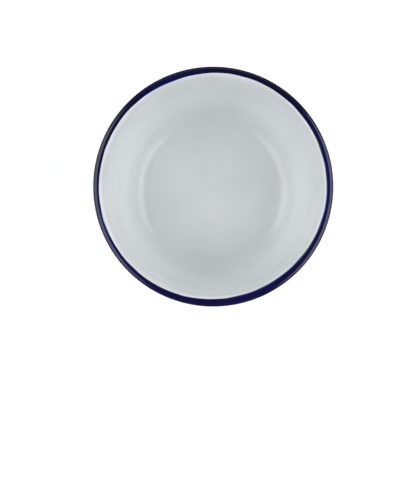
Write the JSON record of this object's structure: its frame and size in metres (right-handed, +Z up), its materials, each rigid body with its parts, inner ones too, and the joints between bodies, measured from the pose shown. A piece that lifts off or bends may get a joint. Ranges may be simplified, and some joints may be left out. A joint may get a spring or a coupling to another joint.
{
  "type": "enamel basin bowl",
  "caption": "Round tapered basin bowl of pressed steel with a rolled rim, white enamel inside and out and a dark blue enamelled rim; stands on its flat base and holds food or liquid.",
  "frame": {"origin": "centre of the flat underside that the bowl stands on", "axes": "+Z up along the bowl's axis of revolution"},
  "size_m": [0.16, 0.16, 0.073],
  "materials": {
    "pressed_steel": "pickled low-carbon steel sheet, hidden under enamel",
    "ground_enamel": "dark vitreous ground coat, hidden under the cover coats",
    "white_enamel": "glossy cool white vitreous enamel",
    "blue_enamel": "glossy dark cobalt blue vitreous enamel"
  },
  "bodies": {
    "root": {"steel_shell": "pressed_steel", "ground_coat": "ground_enamel", "inside_cover_coat": "white_enamel", "outside_cover_coat": "white_enamel", "rim_edging": "blue_enamel"}
  },
  "joints": []
}
